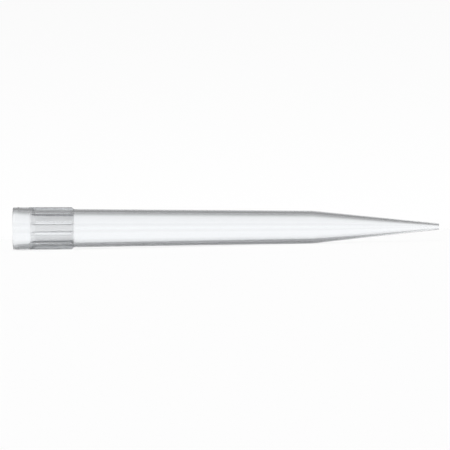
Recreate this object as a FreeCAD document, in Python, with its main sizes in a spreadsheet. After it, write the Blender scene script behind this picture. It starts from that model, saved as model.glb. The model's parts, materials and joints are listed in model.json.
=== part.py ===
"""Pipette tip, long form, for a 1 ml air-displacement pipette: one moulding in clear polypropylene.

Lengths are in millimetres and angles in degrees. The tip is turned about its own axis, and stations
along that axis run from the mouth, at 0, to the point. It lies as it comes to rest on a bench, on the
ends of its two lowest ribs and on its knee, so that the axis leans and the point stays clear.
The origin is on the bench, under the middle of the tip.
"""
import FreeCAD, Part
import math
import os
import re

import Sketcher

# ---------------------------------------------------------------- driving sizes

SIZES = {
    # stations along the axis
    "total_length": 90.0,
    "land_end": 1.05,
    "shoulder_end": 1.3,
    "runout_start": 3.6,
    "band_end": 4.05,
    "crest_start": 4.4,
    "root_start": 5.1,
    "crest_end": 12.4,
    "seat_end": 13.5,
    "knee_station": 63.3,
    # bore: diameters, and how each side of it closes in
    "seat_mouth_bore": 7.7,
    "orifice": 0.72,
    "land_step": 0.08,
    "seat_taper": 1.75,
    "bore_draft": 0.67,
    # walls
    "band_wall": 0.62,
    "tube_wall": 0.56,
    "point_wall": 0.29,
    # edges and bends
    "mouth_chamfer": 0.2,
    "rim_round": 0.25,
    "knee_bend": 30.0,
    # grip ribs
    "rib_count": 12,
    "rib_width": 0.74,
    "rib_proud": 0.09,
    "rib_sink": 0.02,
    "rib_round": 0.12,
    "rib_root_depth": 0.15,
    "rib_foot_height": 0.08,
    "rib_flank_draft": 3.0,
    "rib_crest_draft": 0.3,
    "rib_end_slope": 45.0,
}

# What follows from the sizes. Each formula names only sizes and the values above it.
DERIVED = {
    # radii of the bore
    "seat_mouth_inside": "seat_mouth_bore / 2",
    "land_inside": "seat_mouth_inside + land_step",
    "seat_end_inside": "seat_mouth_inside - (seat_end - shoulder_end) * tan(seat_taper)",
    "knee_inside": "seat_end_inside - (knee_station - seat_end) * tan(bore_draft)",
    "point_inside": "orifice / 2",
    # radii of the outside: the band, its rim's rounding as far as the wall has room for it beside the
    # chamfer, and two cones that meet at the knee
    "band_radius": "seat_mouth_inside + band_wall",
    "rim_bend": "min(rim_round; 0.8 * (band_radius - land_inside - mouth_chamfer))",
    "root_radius": "seat_end_inside + tube_wall + (seat_end - root_start) * tan(bore_draft)",
    "knee_radius": "knee_inside + tube_wall",
    "point_radius": "point_inside + point_wall",
    "point_draft": "atan((knee_radius - point_radius) / (total_length - knee_station))",
    # the bend that rounds the knee, and its centre, which is beyond the axis
    "knee_setback": "knee_bend * tan((point_draft - bore_draft * 1 deg) / 2)",
    "knee_centre_station": "knee_station - knee_setback * cos(bore_draft) - knee_bend * sin(bore_draft)",
    "knee_centre_radius": "knee_radius + knee_setback * sin(bore_draft) - knee_bend * cos(bore_draft)",
    # crest of a rib: out of the band, along, and down to its foot on the tube
    "runout_crest": "band_radius - rib_sink",
    "crest_start_radius": "band_radius + rib_proud",
    "crest_end_radius": "crest_start_radius - (crest_end - crest_start) * tan(rib_crest_draft)",
    "foot_crest": "root_radius - (crest_end - root_start) * tan(bore_draft) + rib_foot_height",
    "foot_station": "crest_end + (crest_end_radius - foot_crest) / tan(rib_end_slope)",
    # rest: how far a rib beside the lowest gap reaches down, and the lean that lays the knee level with it
    "rib_turn": "180 deg / rib_count",
    "rib_shoulder": "rib_width / 2 - rib_round * cos(rib_flank_draft)",
    "rib_reach": "rib_shoulder * sin(rib_turn) + (crest_end_radius - rib_round) * cos(rib_turn) + rib_round",
    "rest_run": "knee_centre_station - crest_end",
    "rest_drop": "rib_reach - knee_centre_radius",
    "lean": "acos(knee_bend / sqrt(rest_run ^ 2 + rest_drop ^ 2)) - atan2(rest_run; rest_drop)",
    "rest_height": "rib_reach * cos(lean) + crest_end * sin(lean)",
    "mouth_reach": "rim_bend * (cos(lean) - 1) - (band_radius - rim_bend) * sin(lean)",
    "point_reach": "total_length * cos(lean) + point_radius * sin(lean)",
}
ANGLES = {"point_draft", "rib_turn", "lean"}

doc = FreeCAD.newDocument("PipetteTip")
sheet = doc.addObject("Spreadsheet::Sheet", "Sizes")
for row, (alias, value) in enumerate(SIZES.items(), start=1):
    sheet.set(f"A{row}", alias)
    sheet.set(f"B{row}", str(value))
    sheet.setAlias(f"B{row}", alias)
doc.recompute()


def full(formula):
    """The formula with each of its names written out in full, as FreeCAD's expressions need them."""
    homes = {**dict.fromkeys(SIZES, "Sizes."), **dict.fromkeys(DERIVED, "Forms.")}
    return re.sub(r"[a-z_]+", lambda name: homes.get(name.group(), "") + name.group(), formula)


forms = doc.addObject("App::VarSet", "Forms")
for name, formula in DERIVED.items():
    kind = "App::PropertyAngle" if name in ANGLES else "App::PropertyFloat"
    forms.addProperty(kind, name, "Derived")
    forms.setExpression(name, full(formula))
doc.recompute()


def worth(formula):
    """The number that a formula gives now, to draw a sketch near its final shape."""
    return float(forms.evalExpression(full(formula)))


# ---------------------------------------------------------------- sketching

ORIGIN = (-1, 1)  # the sketch's origin, as constraints name it
START, END = 1, 2  # the ends of an edge


def new_sketch(body, name, plane):
    """An empty sketch on one of the body's own origin planes."""
    sketch = body.newObject("Sketcher::SketchObject", name)
    plane = next(f for f in body.Origin.OriginFeatures if f.Role == plane)
    sketch.AttachmentSupport = (plane, "")
    sketch.MapMode = "FlatFace"
    return sketch


def bind(sketch, constraint, name, formula):
    """Add a constraint whose value follows a formula."""
    sketch.addConstraint(constraint)
    sketch.renameConstraint(sketch.ConstraintCount - 1, name)
    sketch.setExpression(f"Constraints.{name}", full(formula))


def place(sketch, spot, name, across, up):
    """Hold a point of the sketch, an edge and its end, at a place given by two formulas."""
    bind(sketch, Sketcher.Constraint("DistanceX", *ORIGIN, *spot, worth(across)), name + "_across", across)
    bind(sketch, Sketcher.Constraint("DistanceY", *ORIGIN, *spot, worth(up)), name + "_up", up)


def point(across, up):
    return FreeCAD.Vector(worth(across), worth(up), 0)


def arc(centre, radius, first, last):
    """An arc in the sketch's plane, anticlockwise between two angles in degrees."""
    circle = Part.Circle(centre, FreeCAD.Vector(0, 0, 1), radius)
    return Part.ArcOfCircle(circle, math.radians(first), math.radians(last))


# ---------------------------------------------------------------- the turned shape

body = doc.addObject("PartDesign::Body", "Tip")
body.Label = "pipette_tip"


def draw_section(body):
    """Half of the lengthwise section: stations across, radii up, outside and bore in one outline."""
    sketch = new_sketch(body, "Section", "XZ_Plane")
    rim_inner = point("0", "land_inside + mouth_chamfer")
    rim_outer = point("0", "band_radius - rim_bend")
    band_top = point("rim_bend", "band_radius")
    band_edge = point("band_end", "band_radius")
    root = point("root_start", "root_radius")
    point_outer = point("total_length", "point_radius")
    point_inner = point("total_length", "point_inside")
    knee_inner = point("knee_station", "knee_inside")
    seat_end = point("seat_end", "seat_end_inside")
    seat_mouth = point("shoulder_end", "seat_mouth_inside")
    land_inner = point("land_end", "land_inside")
    land_outer = point("mouth_chamfer", "land_inside")

    # the groove's arc leaves the band's edge and runs out along the tube
    tube_draft = worth("bore_draft")
    point_draft = worth("point_draft")
    outward = FreeCAD.Vector(math.sin(math.radians(tube_draft)), math.cos(math.radians(tube_draft)), 0)
    chord = band_edge - root
    groove_radius = chord.Length**2 / (2 * chord.dot(outward))
    groove_centre = root + outward * groove_radius
    spoke = band_edge - groove_centre
    groove_first = math.degrees(math.atan2(spoke.y, spoke.x))
    knee_centre = point("knee_centre_station", "knee_centre_radius")
    knee_arc = arc(knee_centre, worth("knee_bend"), 90 - point_draft, 90 - tube_draft)

    edges = sketch.addGeometry(
        [
            Part.LineSegment(rim_inner, rim_outer),
            arc(point("rim_bend", "band_radius - rim_bend"), worth("rim_bend"), 90, 180),
            Part.LineSegment(band_top, band_edge),
            arc(groove_centre, groove_radius, groove_first, -90 - tube_draft),
            Part.LineSegment(root, knee_arc.EndPoint),
            knee_arc,
            Part.LineSegment(knee_arc.StartPoint, point_outer),
            Part.LineSegment(point_outer, point_inner),
            Part.LineSegment(point_inner, knee_inner),
            Part.LineSegment(knee_inner, seat_end),
            Part.LineSegment(seat_end, seat_mouth),
            Part.LineSegment(seat_mouth, land_inner),
            Part.LineSegment(land_inner, land_outer),
            Part.LineSegment(land_outer, rim_inner),
        ],
        False,
    )
    rim, rim_arc, band, groove, tube, knee, cone, face, cone_bore, tube_bore, seat, shoulder, land, lead = edges
    knee_mark = sketch.addGeometry(Part.Point(point("knee_station", "knee_radius")), True)

    # the outline closes, and its round stretches run smoothly into the straight ones
    smooth = [(rim, END, rim_arc, END), (rim_arc, START, band, START), (groove, END, tube, START)]
    smooth += [(tube, END, knee, END), (knee, START, cone, START)]
    corners = [(band, END, groove, START)]
    straight = [cone, face, cone_bore, tube_bore, seat, shoulder, land, lead, rim]
    corners += [(one, END, other, START) for one, other in zip(straight, straight[1:])]
    sketch.addConstraint([Sketcher.Constraint("Tangent", *pair) for pair in smooth])
    sketch.addConstraint([Sketcher.Constraint("Coincident", *pair) for pair in corners])
    sketch.addConstraint([Sketcher.Constraint("Vertical", rim), Sketcher.Constraint("Horizontal", band)])
    sketch.addConstraint([Sketcher.Constraint("PointOnObject", knee_mark, START, line) for line in (tube, cone)])

    # sizes
    sketch.addConstraint(Sketcher.Constraint("PointOnObject", rim, START, -2))
    rim_radius = "land_inside + mouth_chamfer"
    bind(sketch, Sketcher.Constraint("DistanceY", *ORIGIN, rim, START, worth(rim_radius)), "rim_inner", rim_radius)
    bind(sketch, Sketcher.Constraint("Radius", rim_arc, worth("rim_bend")), "rim_bend", "rim_bend")
    place(sketch, (band, END), "band", "band_end", "band_radius")
    place(sketch, (tube, START), "root", "root_start", "root_radius")
    place(sketch, (knee_mark, START), "knee", "knee_station", "knee_radius")
    bind(sketch, Sketcher.Constraint("Radius", knee, worth("knee_bend")), "knee_bend", "knee_bend")
    place(sketch, (cone, END), "point_outer", "total_length", "point_radius")
    place(sketch, (face, END), "point_inner", "total_length", "point_inside")
    place(sketch, (cone_bore, END), "knee_inner", "knee_station", "knee_inside")
    place(sketch, (tube_bore, END), "seat_end", "seat_end", "seat_end_inside")
    place(sketch, (seat, END), "seat_mouth", "shoulder_end", "seat_mouth_inside")
    place(sketch, (shoulder, END), "land_inner", "land_end", "land_inside")
    place(sketch, (land, END), "land_outer", "mouth_chamfer", "land_inside")
    return sketch


section = draw_section(body)
turned = body.newObject("PartDesign::Revolution", "Turned")
turned.Profile = section
turned.ReferenceAxis = (section, ["H_Axis"])
turned.Angle = 360
doc.recompute()

# ---------------------------------------------------------------- the grip ribs


def draw_rib_section(body, name, station, crest):
    """A rib's cross-section at a station: drafted flanks, a flat crest, rounded crest edges.

    It is turned half a pitch from the lowest line of the tip, so that a gap faces straight down.
    """
    sketch = new_sketch(body, name, "YZ_Plane")
    sketch.AttachmentOffset = FreeCAD.Placement(
        FreeCAD.Vector(0, 0, worth(station)), FreeCAD.Rotation(FreeCAD.Vector(0, 0, 1), worth("rib_turn"))
    )
    sketch.setExpression("AttachmentOffset.Base.z", full(station))
    sketch.setExpression("AttachmentOffset.Rotation.Angle", full("rib_turn"))

    base = f"root_radius - ({station} - root_start) * tan(bore_draft) - rib_root_depth"
    draft = worth("rib_flank_draft")
    right = arc(point("rib_shoulder", f"{crest} - rib_round"), worth("rib_round"), draft, 90)
    left = arc(point("-rib_shoulder", f"{crest} - rib_round"), worth("rib_round"), 90, 180 - draft)
    flare = (right.StartPoint.y - worth(base)) * math.tan(math.radians(draft))
    foot = FreeCAD.Vector(right.StartPoint.x + flare, worth(base), 0)
    mirror_foot = FreeCAD.Vector(-foot.x, foot.y, 0)
    right_flank, right_round, top, left_round, left_flank, floor = sketch.addGeometry(
        [
            Part.LineSegment(foot, right.StartPoint),
            right,
            Part.LineSegment(right.EndPoint, left.StartPoint),
            left,
            Part.LineSegment(left.EndPoint, mirror_foot),
            Part.LineSegment(mirror_foot, foot),
        ],
        False,
    )
    ring = [right_flank, right_round, top, left_round, left_flank]
    sketch.addConstraint([Sketcher.Constraint("Tangent", one, END, other, START)
                          for one, other in zip(ring, ring[1:])])
    sketch.addConstraint(
        [
            Sketcher.Constraint("Coincident", left_flank, END, floor, START),
            Sketcher.Constraint("Coincident", floor, END, right_flank, START),
            Sketcher.Constraint("Symmetric", floor, START, floor, END, -2),
            Sketcher.Constraint("Symmetric", right_round, START, left_round, END, -2),
            Sketcher.Constraint("Equal", right_round, left_round),
        ]
    )
    width = Sketcher.Constraint("DistanceX", left_round, END, right_round, START, worth("rib_width"))
    bind(sketch, width, "rib_width", "rib_width")
    bind(sketch, Sketcher.Constraint("Radius", right_round, worth("rib_round")), "rib_round", "rib_round")
    bind(sketch, Sketcher.Constraint("DistanceY", *ORIGIN, top, START, worth(crest)), "crest", crest)
    bind(sketch, Sketcher.Constraint("DistanceY", *ORIGIN, floor, START, worth(base)), "base", base)
    slant = Sketcher.Constraint("Angle", right_flank, START, floor, END, math.radians(90 - draft))
    bind(sketch, slant, "flank", "90 deg - rib_flank_draft * 1 deg")
    return sketch


first_rib = body.newObject("PartDesign::AdditiveLoft", "FirstRib")
first_rib.Profile = draw_rib_section(body, "RibRunout", "runout_start", "runout_crest")
first_rib.Sections = [
    draw_rib_section(body, "RibCrestStart", "crest_start", "crest_start_radius"),
    draw_rib_section(body, "RibCrestEnd", "crest_end", "crest_end_radius"),
    draw_rib_section(body, "RibFoot", "foot_station", "foot_crest"),
]
first_rib.Ruled = True
doc.recompute()

ribs = body.newObject("PartDesign::PolarPattern", "Ribs")
ribs.Originals = [first_rib]
ribs.Axis = (section, ["H_Axis"])
ribs.Angle = 360
ribs.setExpression("Occurrences", full("rib_count"))
body.Tip = ribs
doc.recompute()

# ---------------------------------------------------------------- rest on the bench

body.Placement = FreeCAD.Placement(FreeCAD.Vector(), FreeCAD.Rotation(FreeCAD.Vector(0, 1, 0), worth("lean")))
body.setExpression("Placement.Rotation.Angle", full("lean"))
body.setExpression("Placement.Base.x", full("-(mouth_reach + point_reach) / 2"))
body.setExpression("Placement.Base.z", full("rest_height"))
doc.recompute()

# ---------------------------------------------------------------- checks and files

broken = [thing.Name for thing in doc.Objects if {"Invalid", "Error"} & set(thing.State)]
if broken:
    raise SystemExit(f"not built: {broken}")
loose = [thing.Name for thing in doc.findObjects("Sketcher::SketchObject") if not thing.FullyConstrained]
if loose:
    raise SystemExit(f"sketches with a free size: {loose}")
shape = body.Shape
if shape.isNull() or not shape.isValid() or len(shape.Solids) != 1:
    raise SystemExit("the tip is not one sound solid")

os.makedirs("parts", exist_ok=True)
shape.exportStep(f"parts/{body.Label}.step")
box = shape.optimalBoundingBox()
print(f"{body.Label}: volume {shape.Volume:.2f} mm3, area {shape.Area:.1f} mm2, lean {worth('lean'):.4f} deg")
print(f"x {box.XMin:.3f} to {box.XMax:.3f}, y {box.YMin:.3f} to {box.YMax:.3f}, z {box.ZMin:.3f} to {box.ZMax:.3f}")
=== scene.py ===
import json
import math

import bpy
from mathutils import Matrix, Vector


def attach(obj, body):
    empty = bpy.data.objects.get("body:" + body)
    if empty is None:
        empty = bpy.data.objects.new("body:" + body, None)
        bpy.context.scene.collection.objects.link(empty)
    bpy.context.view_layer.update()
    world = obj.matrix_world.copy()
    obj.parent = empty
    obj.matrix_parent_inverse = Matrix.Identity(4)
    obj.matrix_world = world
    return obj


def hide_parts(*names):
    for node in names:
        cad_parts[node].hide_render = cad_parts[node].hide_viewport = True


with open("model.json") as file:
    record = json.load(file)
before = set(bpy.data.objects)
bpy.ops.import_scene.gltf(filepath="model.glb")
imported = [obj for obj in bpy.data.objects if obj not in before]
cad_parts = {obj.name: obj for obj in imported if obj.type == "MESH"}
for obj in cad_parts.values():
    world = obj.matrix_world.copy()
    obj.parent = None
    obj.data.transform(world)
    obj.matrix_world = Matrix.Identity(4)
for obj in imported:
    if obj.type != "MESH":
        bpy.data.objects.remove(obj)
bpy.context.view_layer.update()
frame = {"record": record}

# ---------------------------------------------------------------- the tip
# One injection moulding in clear polypropylene: a smooth mouth band, twelve grip ribs, a long tube and
# a tapered point, all one wall. A core pin shapes the bore and a cavity the outside, both polished
# except where the grip is finely matt, and faint flow lines run from the mouth to the point.

MM = 0.001

# stations along the axis from the mouth, in millimetres
TIP_LENGTH = 90.0
LAND_END = 1.05
SHOULDER_END = 1.3
RUNOUT_START = 3.6
BAND_END = 4.05
CREST_START = 4.4
ROOT_START = 5.1
CREST_END = 12.4
SEAT_END = 13.5
KNEE_STATION = 63.3

# radii of the bore, and how each side of it closes in
SEAT_MOUTH_INSIDE = 3.85
LAND_STEP = 0.08
POINT_INSIDE = 0.36
SEAT_TAPER = math.radians(1.75)
BORE_DRAFT = math.radians(0.67)

# walls, edges and bends
BAND_WALL = 0.62
TUBE_WALL = 0.56
POINT_WALL = 0.29
MOUTH_CHAMFER = 0.2
RIM_ROUND = 0.25
KNEE_BEND = 30.0

# grip ribs
RIBS = 12
RIB_WIDTH = 0.74
RIB_PROUD = 0.09
RIB_SINK = 0.02
RIB_ROUND = 0.12
RIB_FOOT_HEIGHT = 0.08
RIB_FLANK_DRAFT = math.radians(3.0)
RIB_CREST_DRAFT = math.radians(0.3)

land_inside = SEAT_MOUTH_INSIDE + LAND_STEP
seat_end_inside = SEAT_MOUTH_INSIDE - (SEAT_END - SHOULDER_END) * math.tan(SEAT_TAPER)
knee_inside = seat_end_inside - (KNEE_STATION - SEAT_END) * math.tan(BORE_DRAFT)
band_radius = SEAT_MOUTH_INSIDE + BAND_WALL
root_radius = seat_end_inside + TUBE_WALL + (SEAT_END - ROOT_START) * math.tan(BORE_DRAFT)
knee_radius = knee_inside + TUBE_WALL
point_radius = POINT_INSIDE + POINT_WALL
point_draft = math.atan((knee_radius - point_radius) / (TIP_LENGTH - KNEE_STATION))
crest_radius = band_radius + RIB_PROUD
crest_end_radius = crest_radius - (CREST_END - CREST_START) * math.tan(RIB_CREST_DRAFT)
foot_radius = root_radius - (CREST_END - ROOT_START) * math.tan(BORE_DRAFT) + RIB_FOOT_HEIGHT
foot_station = CREST_END + crest_end_radius - foot_radius

# the groove's arc, from the band's edge until it runs into the tube
band_edge = Vector((BAND_END, band_radius))
root = Vector((ROOT_START, root_radius))
outward = Vector((math.sin(BORE_DRAFT), math.cos(BORE_DRAFT)))
groove_radius = (band_edge - root).length_squared / (2 * (band_edge - root).dot(outward))
groove_centre = root + outward * groove_radius
groove_start = math.atan2(*reversed(band_edge - groove_centre))

# the knee's arc, between the tube and the point
knee_setback = KNEE_BEND * math.tan((point_draft - BORE_DRAFT) / 2)
back_along_tube = Vector((-math.cos(BORE_DRAFT), math.sin(BORE_DRAFT)))
knee_start = Vector((KNEE_STATION, knee_radius)) + knee_setback * back_along_tube
knee_centre = knee_start - KNEE_BEND * outward
knee_end = knee_centre + KNEE_BEND * Vector((math.sin(point_draft), math.cos(point_draft)))


def run(start, end, stretches, corner=0.12, largest_share=0.2):
    """Points from start up to but not including end.

    A short stretch beside each corner keeps it crisp. Its length is corner, or on a short run no more
    than largest_share of the run.
    """
    start, end = Vector(start), Vector(end)
    near = min(corner / (end - start).length, largest_share)
    shares = [0.0, near] + [near + (1 - 2 * near) * k / stretches for k in range(1, stretches + 1)]
    return [tuple(start.lerp(end, share)) for share in shares]


def turn(centre, radius, first, last, steps):
    """Points round an arc, from one angle up to but not including the other."""
    angles = [first + (last - first) * k / steps for k in range(steps)]
    return [(centre[0] + radius * math.cos(a), centre[1] + radius * math.sin(a)) for a in angles]


def tube_at(station):
    """The point of the tube's outside at a station."""
    return (station, root_radius - (station - ROOT_START) * math.tan(BORE_DRAFT))


# the lengthwise section, from the mouth along the outside to the point and back through the bore, with
# one short step where the tube goes on past the feet of the ribs
PAST_FOOT = 0.02
lead_in = (0.0, land_inside + MOUTH_CHAMFER)
outline = run(lead_in, (0.0, band_radius - RIM_ROUND), stretches=1, corner=0.02)
outline += turn((RIM_ROUND, band_radius - RIM_ROUND), RIM_ROUND, math.pi, math.pi / 2, steps=8)
outline += run((RIM_ROUND, band_radius), (RUNOUT_START, band_radius), stretches=3)
outline += run((RUNOUT_START, band_radius), (BAND_END, band_radius), stretches=8, corner=0.05)
outline += turn(groove_centre, groove_radius, groove_start, -math.pi / 2 - BORE_DRAFT, steps=24)
outline += run(tube_at(ROOT_START), tube_at(CREST_END), stretches=6)
outline += run(tube_at(CREST_END), tube_at(foot_station), stretches=3, corner=0.03)
outline += [tube_at(foot_station)]
outline += run(tube_at(foot_station + PAST_FOOT), knee_start, stretches=12)
outline += turn(knee_centre, KNEE_BEND, math.pi / 2 - BORE_DRAFT, math.pi / 2 - point_draft, steps=10)
outline += run(knee_end, (TIP_LENGTH, point_radius), stretches=10)
outline += run((TIP_LENGTH, point_radius), (TIP_LENGTH, POINT_INSIDE), stretches=1, corner=0.02)
outline += run((TIP_LENGTH, POINT_INSIDE), (KNEE_STATION, knee_inside), stretches=10)
outline += run((KNEE_STATION, knee_inside), (SEAT_END, seat_end_inside), stretches=12)
outline += run((SEAT_END, seat_end_inside), (SHOULDER_END, SEAT_MOUTH_INSIDE), stretches=6)
outline += [(SHOULDER_END, SEAT_MOUTH_INSIDE)]  # no stretches: the shoulder has no crisp edges
outline += run((LAND_END, land_inside), (MOUTH_CHAMFER, land_inside), stretches=2, corner=0.05)
outline += run((MOUTH_CHAMFER, land_inside), lead_in, stretches=1, corner=0.02)

# the crest of a rib, as stations and radii: out of the band, along, and down to its foot
rib_crest = [
    (RUNOUT_START, band_radius - RIB_SINK),
    (CREST_START, crest_radius),
    (CREST_END, crest_end_radius),
    (foot_station, foot_radius),
]


def crest_over(station, radius, close=1e-6):
    """The radius of a rib's crest over a point of the outside, or 0 where there is no rib."""
    if radius > land_inside:
        for (left, low), (right, high) in zip(rib_crest, rib_crest[1:]):
            if left - close <= station <= right + close:
                return low + (high - low) * (station - left) / (right - left)
    return 0.0


# the section as a ring of edges: X holds the station, Y the crest's radius there and Z the radius
section = bpy.data.meshes.new("tip_section")
section.from_pydata(
    [(s * MM, crest_over(s, r) * MM, r * MM) for s, r in outline],
    [(k, (k + 1) % len(outline)) for k in range(len(outline))],
    [],
)
blank = bpy.data.objects.new("tip_section", section)
bpy.context.scene.collection.objects.link(blank)


class Gauge:
    """A quantity that varies from place to place. Sums written with it lay their own Math nodes."""

    def __init__(self, tree, socket=None):
        self.tree, self.socket = tree, socket

    def lay(self, kind, settings=None, inputs=None):
        """Add one node: its settings first, then its sockets' values and links."""
        node = self.tree.nodes.new(kind)
        for name, value in (settings or {}).items():
            if name == "stops":
                ramp = node.color_ramp.elements
                while len(ramp) < len(value):
                    ramp.new(1.0)
                for stop, (place, colour) in zip(ramp, value):
                    stop.position, stop.color = place, colour
            else:
                setattr(node, name, value)
        for name, value in (inputs or {}).items():
            entry = node.inputs[name]
            if isinstance(value, Gauge):
                self.tree.links.new(value.socket, entry)
            else:
                entry.default_value = value
        return node

    def out(self, node, name=0):
        return Gauge(self.tree, node.outputs[name])

    def sum(self, operation, *terms):
        node = self.lay("ShaderNodeMath", {"operation": operation}, dict(enumerate(terms)))
        return self.out(node)

    def __add__(self, other):
        return self.sum("ADD", self, other)

    def __radd__(self, other):
        return self.sum("ADD", other, self)

    def __sub__(self, other):
        return self.sum("SUBTRACT", self, other)

    def __rsub__(self, other):
        return self.sum("SUBTRACT", other, self)

    def __mul__(self, other):
        return self.sum("MULTIPLY", self, other)

    def __rmul__(self, other):
        return self.sum("MULTIPLY", other, self)

    def __truediv__(self, other):
        return self.sum("DIVIDE", self, other)

    def __rtruediv__(self, other):
        return self.sum("DIVIDE", other, self)

    def __mod__(self, other):
        return self.sum("FLOORED_MODULO", self, other)

    def __gt__(self, other):
        return self.sum("GREATER_THAN", self, other)

    def __abs__(self):
        return self.sum("ABSOLUTE", self)


# in metres: what counts as a rib, the step from a flank to the gap's floor, and how near a seam closes
LEAST_RIB = 1e-6
FLANK_STEP = 0.01 * MM
SEAM = 0.0002 * MM


def turning_tree():
    """Turns the section about the tip's axis and raises the ribs.

    Round one pitch of the ribs, from the middle of a gap to the middle of the next, the columns of
    the mesh are bunched on the crest, its round edges and the flank, and even across the gap.
    """
    tree = bpy.data.node_groups.new("turned_tip", "GeometryNodeTree")
    tree.is_modifier = True
    face = tree.interface
    face.new_socket("Geometry", in_out="INPUT", socket_type="NodeSocketGeometry")
    for name, kind in (
        ("Ribs", "Int"),
        ("Rib Width", "Float"),
        ("Rib Round", "Float"),
        ("Rib Flank Draft", "Float"),
        ("Crest Radius", "Float"),
        ("Root Radius", "Float"),
        ("Crest Steps", "Int"),
        ("Round Steps", "Int"),
        ("Gap Steps", "Int"),
        ("Corner Angle", "Float"),
        ("Mouth", "Vector"),
        ("Lean", "Float"),
        ("Plastic", "Material"),
    ):
        face.new_socket(name, in_out="INPUT", socket_type="NodeSocket" + kind)
    face.new_socket("Geometry", in_out="OUTPUT", socket_type="NodeSocketGeometry")

    g = Gauge(tree)
    entry = g.lay("NodeGroupInput")
    size = {socket.name: Gauge(tree, socket) for socket in entry.outputs if socket.name}
    draft = size["Rib Flank Draft"]
    crest_steps = size["Crest Steps"]
    round_steps = size["Round Steps"]
    gap_steps = size["Gap Steps"]

    # a sheet with one row for each point of the section and one column for each step round the axis
    points = g.out(g.lay("GeometryNodeAttributeDomainSize", {}, {0: size["Geometry"]}), "Point Count")
    half_steps = crest_steps + round_steps + gap_steps + 1
    steps = half_steps * 2
    columns = steps * size["Ribs"] + 1
    sheet = g.out(g.lay("GeometryNodeMeshGrid", {}, {"Vertices X": points + 1, "Vertices Y": columns}))
    number = g.out(g.lay("GeometryNodeInputIndex"))
    row = g.sum("FLOOR", (number + 0.5) / columns)
    column = number - row * columns
    place = g.out(g.lay("GeometryNodeInputPosition"))
    sample = g.lay(
        "GeometryNodeSampleIndex",
        {"data_type": "FLOAT_VECTOR"},
        {"Geometry": size["Geometry"], "Value": place, "Index": g.sum("ROUND", row % points)},
    )
    split = g.lay("ShaderNodeSeparateXYZ", {}, {0: g.out(sample)})
    station, crest, radius = (g.out(split, k) for k in range(3))

    # across a rib: out along the crest, round its edge, then down the flank to the wall
    step = column % steps
    out_from_rib = abs(step - half_steps)
    side = (step > half_steps) * 2 - 1
    ribbed = crest > LEAST_RIB
    top = crest + (1 - ribbed) * size["Crest Radius"]
    wall = ribbed * radius + (1 - ribbed) * size["Root Radius"]
    bend = g.sum("MINIMUM", g.sum("MAXIMUM", (out_from_rib - crest_steps) / round_steps, 0), 1)
    bend = bend * (math.pi / 2 - draft)
    shoulder = size["Rib Width"] / 2 - size["Rib Round"] * g.sum("COSINE", draft)
    along_crest = g.sum("MINIMUM", out_from_rib / crest_steps, 1) * shoulder
    across = along_crest + size["Rib Round"] * g.sum("SINE", bend)
    height = top - size["Rib Round"] * (1 - g.sum("COSINE", bend))
    wall_height = g.sum("SQRT", wall * wall - across * across)
    shown_height = g.sum("MAXIMUM", height, wall_height)
    flank = g.sum("MAXIMUM", height - wall_height, 0)
    foot_across = across + flank * g.sum("TANGENT", draft) + FLANK_STEP
    foot_height = g.sum("SQRT", wall * wall - foot_across * foot_across)
    past = out_from_rib - crest_steps - round_steps
    in_gap = past > 0.5
    share = g.sum("MAXIMUM", (past - 1) / gap_steps, 0)
    rib_angle = g.sum("ARCTAN2", across, shown_height)
    foot_angle = g.sum("ARCTAN2", foot_across, foot_height)
    half_pitch = math.pi / size["Ribs"]
    gap_angle = foot_angle + share * (half_pitch - foot_angle)
    angle = in_gap * gap_angle + (1 - in_gap) * rib_angle
    reach = g.sum("SQRT", across * across + shown_height * shown_height)
    reach = radius + ribbed * (1 - in_gap) * (reach - radius)

    # round the axis, which leans, from the gap that faces straight down
    rib = g.sum("FLOOR", (column + 0.5) / steps)
    round_axis = (rib * 2 + 1) * half_pitch + side * angle
    out_y = reach * g.sum("SINE", round_axis) * -1
    out_z = reach * g.sum("COSINE", round_axis) * -1
    spot = g.out(g.lay("ShaderNodeCombineXYZ", {}, {0: station, 1: out_y, 2: out_z}))
    tilt = g.out(g.lay("ShaderNodeCombineXYZ", {}, {1: size["Lean"]}))
    turned = {"Vector": spot, "Rotation": tilt}
    leaned = g.lay("ShaderNodeVectorRotate", {"rotation_type": "EULER_XYZ"}, turned)
    home = g.lay("ShaderNodeVectorMath", {"operation": "ADD"}, {0: g.out(leaned), 1: size["Mouth"]})
    placed = g.lay("GeometryNodeSetPosition", {}, {"Geometry": sheet, "Position": g.out(home)})

    # close both seams, round what is smooth and keep the corners
    closed = g.lay("GeometryNodeMergeByDistance", {}, {"Geometry": g.out(placed), "Distance": SEAM})
    faces = {0: g.out(closed), "Shade Smooth": True}
    rounded = g.lay("GeometryNodeSetShadeSmooth", {"domain": "FACE"}, faces)
    edge = g.out(g.lay("GeometryNodeInputMeshEdgeAngle"), "Unsigned Angle")
    edges = {0: g.out(rounded), "Shade Smooth": 1 - (edge > size["Corner Angle"])}
    crisp = g.lay("GeometryNodeSetShadeSmooth", {"domain": "EDGE"}, edges)
    real = g.lay("GeometryNodeRealizeInstances", {}, {0: g.out(crisp)})
    filled = g.lay("GeometryNodeSetMaterial", {}, {"Geometry": g.out(real), "Material": size["Plastic"]})
    g.lay("NodeGroupOutput", {}, {0: g.out(filled)})
    return tree


# the tip's place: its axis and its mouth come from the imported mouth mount
mouth = next(m for m in frame["record"]["mounts"] if m["name"] == "mouth")
axis = -Vector(mouth["axis"])
lean = math.atan2(-axis.z, axis.x)
land_middle = (MOUTH_CHAMFER + LAND_END) / 2 * MM
mouth_centre = Vector(mouth["pos_m"]) - axis * land_middle

# the plastic's own colour, and the tint that light takes on with depth, whose density is per metre
PLASTIC_COLOUR = (0.982, 0.988, 0.994, 1.0)
PLASTIC_IOR = 1.49
TINT = (0.54, 0.66, 0.78, 1.0)
TINT_DENSITY = 50.0

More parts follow.
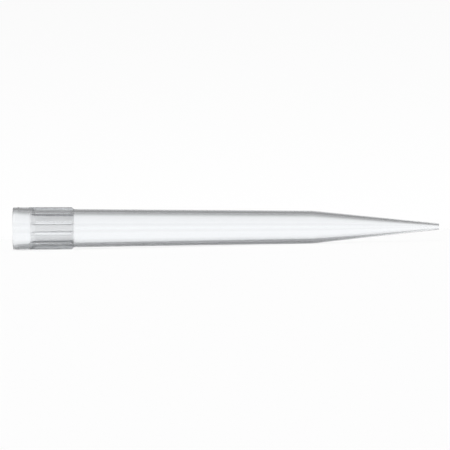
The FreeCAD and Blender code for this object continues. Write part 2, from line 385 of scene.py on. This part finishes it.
# roughness: the polished faces and how far the flow lines vary it, the floors between the ribs of the
# grip, and the crests of the ribs
POLISH = 0.01
POLISH_DRIFT = 0.03
GROOVE_MATT = 0.5
CREST_MATT = 0.12

# where the matt finish comes in, in millimetres
GRIP_FADE = (3.0, 4.3)  # along the tip, at the band
FOOT_FADE = (0.4, -0.1)  # back along the tip, from the feet of the ribs
WALL_FADE = (0.3, 0.5)  # outwards, from the bore at the end of the seat
CREST_FADE = (-0.2, -0.05)  # outwards, up to the far end of a crest, where it grows finer

# flow lines: millimetres from one to the next along and across the tip, how broken up they are, and
# how deep
FLOW_LENGTH = 12.0
FLOW_WIDTH = 1.1
FLOW_DETAIL = 3.0
FLOW_ROUGHNESS = 0.55
FLOW_DEPTH = 0.01
FLOW_STRENGTH = 0.05


def blend(g, value, start, end):
    """0 before start, 1 past end and smooth between."""
    smooth = {"interpolation_type": "SMOOTHSTEP"}
    return g.out(g.lay("ShaderNodeMapRange", smooth, {"Value": value, "From Min": start, "From Max": end}))


def clear_polypropylene():
    """Clear plastic: polished where the mould is, finely matt on the ribbed grip, with faint flow lines."""
    material = bpy.data.materials.new("clear_polypropylene")
    material.use_nodes = True
    tree = material.node_tree
    tree.nodes.clear()
    g = Gauge(tree)

    # millimetres along the tip from its mouth, and out from its axis
    home = {"Location": mouth_centre, "Rotation": (0.0, lean, 0.0), "Scale": (MM, MM, MM)}
    home["Vector"] = g.out(g.lay("ShaderNodeTexCoord"), "Object")
    along = g.out(g.lay("ShaderNodeMapping", {"vector_type": "TEXTURE"}, home))
    split = g.lay("ShaderNodeSeparateXYZ", {}, {0: along})
    station, side, rise = (g.out(split, k) for k in range(3))
    radius = g.sum("SQRT", side * side + rise * rise)

    behind_feet = blend(g, station, foot_station + FOOT_FADE[0], foot_station + FOOT_FADE[1])
    grip = blend(g, station, *GRIP_FADE) * behind_feet
    outside = blend(g, radius, seat_end_inside + WALL_FADE[0], seat_end_inside + WALL_FADE[1])
    crest = blend(g, radius, crest_end_radius + CREST_FADE[0], crest_end_radius + CREST_FADE[1])
    crest = crest * blend(g, station, CREST_START, ROOT_START)
    matt = grip * outside * (GROOVE_MATT + (CREST_MATT - GROOVE_MATT) * crest)

    finer = (1 / FLOW_LENGTH, 1 / FLOW_WIDTH, 1 / FLOW_WIDTH)
    stretched = g.out(g.lay("ShaderNodeVectorMath", {"operation": "MULTIPLY"}, {0: along, 1: finer}))
    noise = {"Vector": stretched, "Scale": 1.0, "Detail": FLOW_DETAIL, "Roughness": FLOW_ROUGHNESS}
    flow = g.out(g.lay("ShaderNodeTexNoise", {}, noise))
    bump = g.lay(
        "ShaderNodeBump",
        {},
        {"Height": flow, "Strength": FLOW_STRENGTH, "Distance": FLOW_DEPTH * MM},
    )
    plastic = g.lay(
        "ShaderNodeBsdfPrincipled",
        {},
        {
            "Base Color": PLASTIC_COLOUR,
            "Roughness": g.sum("MAXIMUM", POLISH + flow * POLISH_DRIFT, matt),
            "IOR": PLASTIC_IOR,
            "Transmission Weight": 1.0,
            "Normal": g.out(bump),
        },
    )
    depth = g.lay("ShaderNodeVolumeAbsorption", {}, {"Color": TINT, "Density": TINT_DENSITY})
    g.lay("ShaderNodeOutputMaterial", {}, {"Surface": g.out(plastic), "Volume": g.out(depth)})
    return material


tree = turning_tree()
turning = blank.modifiers.new("turning", "NODES")
turning.node_group = tree
sizes = {
    "Ribs": RIBS,
    "Rib Width": RIB_WIDTH * MM,
    "Rib Round": RIB_ROUND * MM,
    "Rib Flank Draft": RIB_FLANK_DRAFT,
    "Crest Radius": crest_radius * MM,
    "Root Radius": root_radius * MM,
    "Crest Steps": 3,
    "Round Steps": 5,
    "Gap Steps": 10,
    "Corner Angle": math.radians(20),
    "Mouth": mouth_centre,
    "Lean": lean,
    "Plastic": clear_polypropylene(),
}
for socket in tree.interface.items_tree:
    if socket.in_out == "INPUT" and socket.name in sizes:
        turning[socket.identifier] = sizes[socket.name]
moulded = bpy.data.meshes.new_from_object(blank.evaluated_get(bpy.context.evaluated_depsgraph_get()))
blank.modifiers.remove(turning)
bpy.data.objects.remove(blank)
moulded.name = "tip_moulding"
tip = bpy.data.objects.new("tip_moulding", moulded)
bpy.context.scene.collection.objects.link(tip)
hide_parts("pipette_tip")
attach(tip, "root")

# ---------------------------------------------------------------- the bench
# A plain white bench top that the tip lies on. It has a little glow of its own, so that it reads as
# white, and keeps the tip's shadow.

BENCH_REACH = 1.5
BENCH_WHITE = 0.97
BENCH_GLOW = 0.1


def grey(level):
    return (level, level, level, 1.0)


def seen_rays(g):
    """1 for what is seen straight, in gloss or through the clear wall, and 0 for light on its way."""
    path = g.lay("ShaderNodeLightPath")
    rays = g.out(path, "Is Camera Ray") + g.out(path, "Is Glossy Ray") + g.out(path, "Is Transmission Ray")
    return g.sum("MINIMUM", rays, 1)


def bench_white():
    material = bpy.data.materials.new("bench_white")
    material.use_nodes = True
    tree = material.node_tree
    tree.nodes.clear()
    g = Gauge(tree)
    matt = g.out(g.lay("ShaderNodeBsdfDiffuse", {}, {"Color": grey(BENCH_WHITE)}))
    white = g.out(g.lay("ShaderNodeEmission", {}, {"Color": grey(1.0), "Strength": 1.0}))
    surface = g.lay("ShaderNodeMixShader", {}, {0: seen_rays(g) * BENCH_GLOW, 1: matt, 2: white})
    g.lay("ShaderNodeOutputMaterial", {}, {"Surface": g.out(surface)})
    return material


bench_mesh = bpy.data.meshes.new("bench")
corners = [(x * BENCH_REACH, y * BENCH_REACH, 0.0) for x, y in ((-1, -1), (1, -1), (1, 1), (-1, 1))]
bench_mesh.from_pydata(corners, [], [(0, 1, 2, 3)])
bench_mesh.materials.append(bench_white())
bench = bpy.data.objects.new("bench", bench_mesh)
bpy.context.scene.collection.objects.link(bench)

# ---------------------------------------------------------------- the light
# A bright-field setting for clear ware. Seen straight, in gloss or through the wall, the surround is
# white low down and darkens overhead, so that the edges draw themselves in grey, with a soft box in
# front. An even fill and one soft key light the bench, and the tip's shadow comes from them.

# the surround's grey by degrees of elevation
ROOM_GREY = [(0, 1.0), (6, 0.9), (12, 0.55), (18, 0.38), (40, 0.33), (90, 0.2)]
OVERHEAD = 90

# the soft box: its strength, the degrees of elevation over which it comes in, and how softly it ends
# towards the back
SOFTBOX_GLOW = 1.2
SOFTBOX_RISE = (25, 35)
SOFTBOX_EDGE = 0.1

# the fill and the key add up to a plain level on the bench
FILL_SHARE = 0.6
KEY_SHARE = 0.41
KEY_SIZE = math.radians(14)
KEY_DIRECTION = Vector((0.2, 0.25, -0.9)).normalized()


def studio_world():
    world = bpy.data.worlds.new("studio")
    world.use_nodes = True
    tree = world.node_tree
    tree.nodes.clear()
    g = Gauge(tree)
    direction = g.out(g.lay("ShaderNodeTexCoord"), "Generated")
    split = g.lay("ShaderNodeSeparateXYZ", {}, {0: direction})
    back, rise = g.out(split, 1), g.out(split, 2)
    elevation = abs(g.sum("ARCSINE", rise)) * (180 / math.pi)
    stops = [(degrees / OVERHEAD, grey(level)) for degrees, level in ROOM_GREY]
    ramp = g.lay("ShaderNodeValToRGB", {"stops": stops}, {0: elevation / OVERHEAD})
    room = g.lay("ShaderNodeBackground", {}, {"Color": g.out(ramp), "Strength": 1.0})

    # the soft box hangs in front of the tip, over the low white surround
    box = blend(g, back, SOFTBOX_EDGE, -SOFTBOX_EDGE) * blend(g, elevation, *SOFTBOX_RISE) * (rise > 0)
    softbox = g.lay("ShaderNodeBackground", {}, {"Color": grey(1.0), "Strength": SOFTBOX_GLOW})
    shown = g.lay("ShaderNodeMixShader", {}, {0: box, 1: g.out(room), 2: g.out(softbox)})

    fill = g.lay("ShaderNodeBackground", {}, {"Color": grey(1.0), "Strength": FILL_SHARE})
    surface = g.lay("ShaderNodeMixShader", {}, {0: seen_rays(g), 1: g.out(fill), 2: g.out(shown)})
    g.lay("ShaderNodeOutputWorld", {}, {"Surface": g.out(surface)})
    return world


bpy.context.scene.world = studio_world()

# a sun of this strength lights a level white surface to KEY_SHARE
key_data = bpy.data.lights.new("key_light", "SUN")
key_data.energy = KEY_SHARE * math.pi / -KEY_DIRECTION.z
key_data.angle = KEY_SIZE
key_light = bpy.data.objects.new("key_light", key_data)
key_light.rotation_euler = KEY_DIRECTION.to_track_quat("-Z", "Y").to_euler()
key_light.visible_camera = key_light.visible_glossy = key_light.visible_transmission = False
bpy.context.scene.collection.objects.link(key_light)

# ---------------------------------------------------------------- the camera
# Level with the tip and square to its side, from far enough that both ends look alike. It is rolled
# with the tip's lean and a little more, so that the tip lies almost level in its view.

CAMERA_DISTANCE = 1.2
SENSOR_WIDTH = 36.0
VIEW_WIDTH = 95.09 * MM
EXTRA_ROLL = math.radians(0.27)
AIM_RIGHT = -0.222 * MM
AIM_UP = 0.522 * MM

camera_data = bpy.data.cameras.new("camera")
camera_data.sensor_width = SENSOR_WIDTH
camera_data.lens = SENSOR_WIDTH * CAMERA_DISTANCE / VIEW_WIDTH
camera = bpy.data.objects.new("camera", camera_data)
level = Matrix.Rotation(math.radians(90), 4, "X")
rolled = level @ Matrix.Rotation(-(lean + EXTRA_ROLL), 4, "Z")
camera.rotation_euler = rolled.to_euler()
right = rolled.to_3x3() @ Vector((1, 0, 0))
up = rolled.to_3x3() @ Vector((0, 1, 0))
middle = mouth_centre + axis * (TIP_LENGTH / 2 * MM)
camera.location = middle + right * AIM_RIGHT + up * AIM_UP + Vector((0, -CAMERA_DISTANCE, 0))
bpy.context.scene.collection.objects.link(camera)
bpy.context.scene.camera = camera

bpy.context.scene.view_settings.view_transform = "Standard"
bpy.context.view_layer.update()
